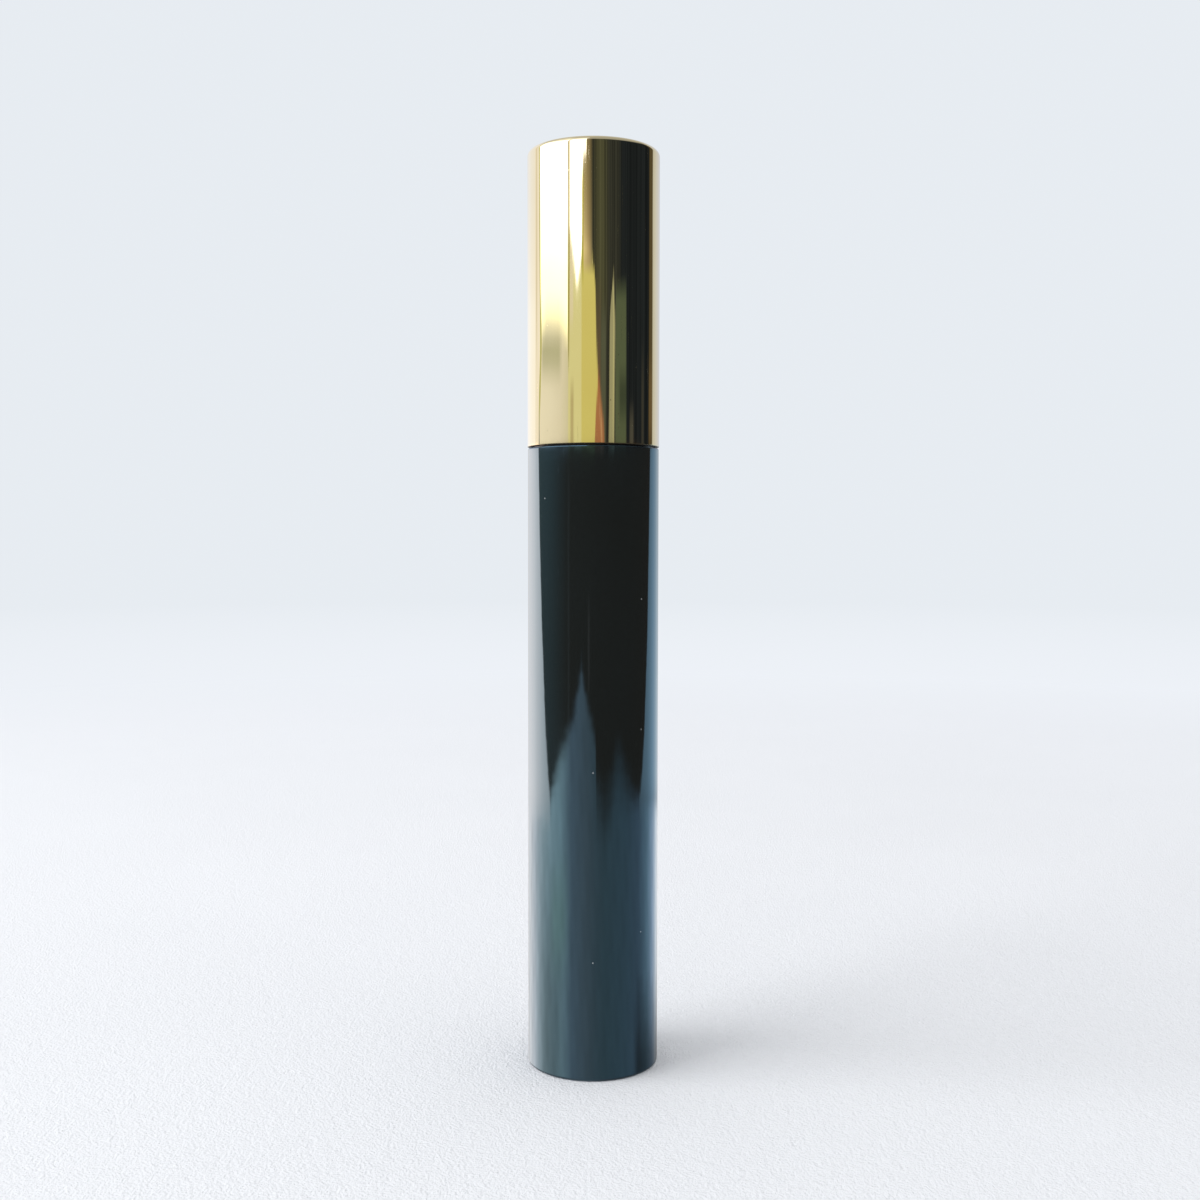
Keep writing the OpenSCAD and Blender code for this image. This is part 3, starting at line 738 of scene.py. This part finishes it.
def rod_soil(tree, surface):
    """Paste along the rod: thick at its lower end, thin streaks further up."""
    streaks = tree.noise(tree.coords((700, 60, 1), source=surface), 1.0, 2.0)
    height = component(tree, surface, "Y")
    return tree.math("ADD", tree.span(height, 44 * MM, 66 * MM, 0.9, 0.05),
                     tree.span(streaks, 0.35, 0.75, -0.2, 0.38))


def wiper_soil(tree, surface):
    """Paste in the wiper's funnel, with a few smears over its rim."""
    smears = tree.noise(tree.coords((260, 260, 260), source=surface), 1.0, 2.0)
    inward = tree.span(component(tree, surface, "Z"), 3.6 * MM, 5.4 * MM, 1.05, 0.0)
    return tree.math("ADD", inward, tree.span(smears, 0.4, 0.75, -0.12, 0.45))


def neck_soil(tree, surface):
    """Traces of paste under the neck's rim."""
    smears = tree.noise(tree.coords((220, 220, 220), source=surface), 1.0, 2.0)
    return tree.math("ADD", tree.span(component(tree, surface, "Y"), 92 * MM, 97 * MM, -0.15, 0.12),
                     tree.span(smears, 0.5, 0.78, 0.0, 0.5))


def steel_material(name, colour, turned):
    tree = Tree(name)
    lines = tree.noise(tree.coords((120, 120, 5200) if turned else (900, 900, 900)), 1.0, 2.0)
    tone = tree.mix(lines, colour, tuple(c * 0.8 for c in colour))
    rough = tree.span(lines, 0.3, 0.7, 0.16, 0.34)
    return tree.finish(tone, rough, tree.bump(lines, 6 * MICRON, 0.8), metallic=1.0)


def foam_material():
    tree = Tree("gasket_foam")
    cells = tree.add("ShaderNodeTexVoronoi", feature="F1")
    tree.join(tree.coords(), cells.inputs["Vector"])
    cells.inputs["Scale"].default_value = 5200
    pores = tree.span(cells.outputs["Distance"], 0.1, 0.7)
    tone = tree.mix(pores, (0.84, 0.84, 0.81), (0.72, 0.72, 0.69))
    return tree.finish(tone, 0.85, tree.bump(pores, 40 * MICRON, 0.8))


def bristle_material():
    tree = Tree("bristle_nylon")
    place = tree.coords()
    wet = tree.noise(place, 1300, 3.0, 0.6)
    tone = tree.mix(tree.span(wet, 0.35, 0.65), (0.012, 0.011, 0.012), (0.030, 0.028, 0.029))
    return tree.finish(tone, tree.span(wet, 0.3, 0.7, 0.22, 0.5), tree.bump(wet, 30 * MICRON, 0.7))


def paste_material():
    tree = Tree("mascara_paste")
    lumps = tree.noise(tree.coords(), 900, 3.0, 0.6)
    tone = tree.mix(lumps, (0.009, 0.008, 0.008), (0.015, 0.014, 0.014))
    return tree.finish(tone, tree.span(lumps, 0.3, 0.7, 0.12, 0.35), tree.bump(lumps, 100 * MICRON, 1.0))


# ---------------------------------------------------------------- pieces

def build_cap_shell():
    low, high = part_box("cap_shell")
    r, bottom, top = high.x, low.z, high.z
    wall, edge, bead, lip = 0.5 * MM, 0.7 * MM, 0.08 * MM, 0.08 * MM
    inner = r - wall
    outline = [(0, top)] + arc(r - edge, top - edge, edge, 90, 0, 16)
    outline += arc(r - bead, bottom + bead, bead, 0, -90, 8)
    outline += arc(inner + lip, bottom + lip, lip, -90, -180, 5)
    outline += [(inner, top - wall), (0, top - wall)]
    shell = lathe("cap_shell_gold", outline[::-1], segments=360, closed=False)
    return stand_in(shell, "cap", "cap_shell", gold_material())


def build_body_sleeve():
    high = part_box("body_sleeve")[1]
    r, top = high.x, high.z
    wall, foot, lip = 0.6 * MM, 0.35 * MM, 0.15 * MM
    inner = r - wall
    outline = [(inner, 0)] + arc(r - foot, foot, foot, -90, 0, 12)
    outline += arc(r - lip, top - lip, lip, 0, 90, 8) + [(inner, top)]
    sleeve = lathe("body_sleeve_black", outline, segments=360)
    return stand_in(sleeve, "tube", "body_sleeve", lacquer_material())


def build_collar():
    low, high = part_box("shoulder_collar")
    bore = 5.62 * MM
    outline = soften([(bore, low.z), (high.x, low.z), (high.x, high.z), (bore, high.z)], 0.3 * MM, steps=6)
    collar = lathe("shoulder_collar_black", outline)
    material = plastic_material("collar_black", (0.014, 0.015, 0.017), 0.12, 0.2, gloss=0.3)
    return stand_in(collar, "tube", "shoulder_collar", material)


def build_bottle():
    low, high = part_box("bottle")
    outer, inner, neck, bore, crest = high.x, high.x - 1.2 * MM, 5.6 * MM, 4.5 * MM, 6.2 * MM
    floor, shoulder, ceiling = low.z + 1.3 * MM, 82.6 * MM, 81.2 * MM
    outline = [(0, low.z), (outer, low.z), (outer, shoulder), (neck, shoulder), (neck, high.z),
               (bore, high.z), (bore, ceiling), (inner, ceiling), (inner, floor), (0, floor)]
    material = soiled_material("bottle_plastic", (0.026, 0.027, 0.029), 0.26, 0.4, neck_soil, 0.22)
    bottle = lathe("bottle_black", soften(outline, 0.25 * MM, closed=False), closed=False)
    stand_in(bottle, "tube", "bottle", material)
    ridge = thread_ridge("bottle_thread", neck, crest, THREAD_START, THREAD_PITCH, THREAD_TURNS)
    return stand_in(ridge, "tube", "bottle", material)


def build_wiper():
    low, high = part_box("wiper")
    rim, seat, press, wall = high.x, high.z - 0.8 * MM, 4.48 * MM, 0.7 * MM
    straight, cone, mouth = 89.0 * MM, 86.0 * MM, 2.05 * MM
    outline = [(rim, high.z), (rim, seat), (press, seat), (press, straight), (mouth + wall, cone),
               (mouth + wall, low.z), (mouth, low.z), (mouth, cone), (press - wall, straight),
               (press - wall, high.z)]
    wiper = lathe("wiper_soft", soften(outline[::-1], 0.22 * MM))
    return stand_in(wiper, "tube", "wiper",
                    soiled_material("wiper_plastic", (0.78, 0.79, 0.77), 0.42, 0.56, wiper_soil))


def build_base():
    low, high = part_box("base_plug")
    wall, floor = 1.3 * MM, 1.8 * MM
    inner, bottom = high.x - wall, low.z + floor
    outline = [(0, low.z), (high.x, low.z), (high.x, high.z), (inner, high.z), (inner, bottom), (0, bottom)]
    plug = lathe("base_plug_black", soften(outline, 0.2 * MM, closed=False), closed=False)
    stand_in(plug, "tube", "base_plug",
             plastic_material("plug_black", (0.02, 0.02, 0.022), 0.42, 0.58, 30 * MICRON, 2600, gloss=0.3))
    low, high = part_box("base_label")
    outline = [(0, low.z), (high.x, low.z), (high.x, high.z), (0, high.z)]
    label = lathe("base_label_blank", soften(outline, 0.04 * MM, closed=False), closed=False)
    stand_in(label, "tube", "base_label",
             plastic_material("label_blank", (0.84, 0.84, 0.82), 0.34, 0.48))


def build_rod():
    low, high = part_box("wand_rod")
    r, flange, head, socket = 2.0 * MM, high.x, 3.0 * MM, 0.55 * MM
    seat, flange_top, grip = 98.8 * MM, 99.8 * MM, low.z + 7 * MM
    outline = [(0, grip), (socket, grip), (socket, low.z), (r, low.z), (r, seat), (flange, seat),
               (flange, flange_top), (head, flange_top), (head, high.z), (0, high.z)]
    outline = soften(outline, 0.45 * MM, closed=False, steps=6)
    rod = lathe("wand_rod_black", outline, segments=128, closed=False)
    material = soiled_material("rod_black", (0.014, 0.014, 0.016), 0.10, 0.2, rod_soil)
    return stand_in(rod, "cap", "wand_rod", material)


def build_gasket():
    low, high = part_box("rod_gasket")
    bore = 2.25 * MM
    outline = soften([(bore, low.z), (high.x, low.z), (high.x, high.z), (bore, high.z)], 0.18 * MM)
    gasket = lathe("rod_gasket_foam", outline, segments=128)
    return stand_in(gasket, "gasket", "rod_gasket", foam_material())


def build_wire():
    low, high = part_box("brush_wire")
    material = steel_material("wire_steel", (0.6, 0.6, 0.61), False)
    for number, phase in enumerate((0, math.pi)):
        leg = helix(f"brush_wire_leg_{number}", 0.24 * MM, 0.28 * MM, low.z, high.z, TWIST, phase)
        stand_in(leg, "cap", "brush_wire", material)


def brush_radius(z, low, high):
    """The brush's outline: it widens from its tip, runs straight, and narrows to the rod."""
    heights = [low.z, high.z - 2 * BRUSH_SHOULDER, high.z - BRUSH_SHOULDER, high.z]
    return np.interp(z, heights, [BRUSH_TIP, high.x, high.x, BRUSH_TIP])


def build_fibres(low, high, rng):
    """Single fibres along the two sides of the twisted wire."""
    count, rings, sides = 2600, 6, 4
    margin, inner = 0.25 * MM, 0.2 * MM
    along_brush = (np.arange(count) + rng.uniform(0, 1, count)) / count
    root = low.z + margin + (high.z - low.z - 2 * margin) * along_brush
    heading = TURN * root / TWIST + math.pi * (np.arange(count) % 2) + rng.normal(0, 0.26, count)
    # wet fibres lean towards their neighbours' common tip
    lock = np.round(root / (0.5 * MM)) * 31 + np.round(heading / 0.42)
    lean_z, lean_turn = np.zeros(count), np.zeros(count)
    for key in np.unique(lock):
        members = lock == key
        lean_z[members] = root[members].mean() + rng.normal(0, 0.12 * MM) - root[members]
        lean_turn[members] = heading[members].mean() + rng.normal(0, 0.05) - heading[members]
    share = rng.uniform(0.35, 0.8, count)
    droop = rng.normal(0, 0.16 * MM, count)
    tip_turn = rng.normal(0, 0.03, count)
    reach = brush_radius(root, low, high) * np.clip(rng.normal(0.955, 0.03, count), 0.8, 0.985)
    # some fibres carry a bead of paste just before their tip
    bead = np.where(rng.uniform(0, 1, count) < 0.3, rng.uniform(1.3, 2.1, count), 1.0)
    vertices = np.zeros((count, rings, sides, 3))
    for ring in range(rings):
        s = ring / (rings - 1)
        r = inner + (reach - inner) * s
        a = heading + s * s * (lean_turn * share + tip_turn)
        z = root + s * s * (lean_z * share + droop)
        swell = {rings - 2: bead, rings - 1: 0.6}.get(ring, 1.0)
        thick = (0.042 - 0.014 * s) * MM * swell
        for k in range(sides):
            b = TURN * k / sides
            side, up = thick * math.cos(b), thick * math.sin(b)
            vertices[:, ring, k, 0] = r * np.cos(a) - side * np.sin(a)
            vertices[:, ring, k, 1] = r * np.sin(a) + side * np.cos(a)
            vertices[:, ring, k, 2] = np.clip(z + up, low.z, high.z)
    one = tube_faces(rings, sides)
    faces = [tuple(v + n * rings * sides for v in face) for n in range(count) for face in one]
    fibres = mesh_object("bristle_fibres", vertices.reshape(-1, 3).tolist(), faces)
    return stand_in(fibres, "cap", "brush_bristles", bristle_material())


def build_brush_paste(low, high, rng):
    """Paste that clings between the fibres, as a lumpy core."""
    sides, rings, end_rings = 36, 150, 5
    rough = rng.normal(0, 1, (rings, sides))
    for _ in range(2):
        shifted = [np.roll(rough, 1, 0), np.roll(rough, -1, 0), np.roll(rough, 1, 1), np.roll(rough, -1, 1)]
        rough = sum(shifted, start=rough) / 5
    rough /= np.abs(rough).max()
    points = []
    for i in range(rings):
        z = low.z + (high.z - low.z) * i / (rings - 1)
        width = float(brush_radius(z, low, high))
        end = min(1.0, i / end_rings, (rings - 1 - i) / end_rings)
        for k in range(sides):
            turn = TURN * k / sides
            ridge = 0.5 + 0.5 * math.cos(2 * (turn - TURN * z / TWIST))
            r = (0.55 + end * (0.16 * width / MM + 0.30 * ridge + 0.22 * rough[i, k])) * MM
            points.append((r * math.cos(turn), r * math.sin(turn), z))
    core = mesh_object("bristle_paste", points, tube_faces(rings, sides))
    return stand_in(core, "cap", "brush_bristles", paste_material())


def build_bristles():
    low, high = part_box("brush_bristles")
    rng = np.random.default_rng(7)
    build_fibres(low, high, rng)
    build_brush_paste(low, high, rng)


def dress_cad_nodes():
    """The CAD nodes that keep their shape get their finish here."""
    finishes = {
        "inner_cap": plastic_material("liner_plastic", (0.80, 0.80, 0.76), 0.35, 0.5),
        "cap_weight": steel_material("weight_steel", (0.55, 0.56, 0.58), True),
        "mascara_fill": paste_material(),
    }
    for node, material in finishes.items():
        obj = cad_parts[node]
        obj.data.materials.clear()
        obj.data.materials.append(material)


bpy.context.scene.view_settings.view_transform = "Standard"
add_camera()
add_studio_reflections()
add_floor()
add_lights()
build_cap_shell()
build_body_sleeve()
build_collar()
build_bottle()
build_wiper()
build_base()
build_rod()
build_gasket()
build_wire()
build_bristles()
dress_cad_nodes()
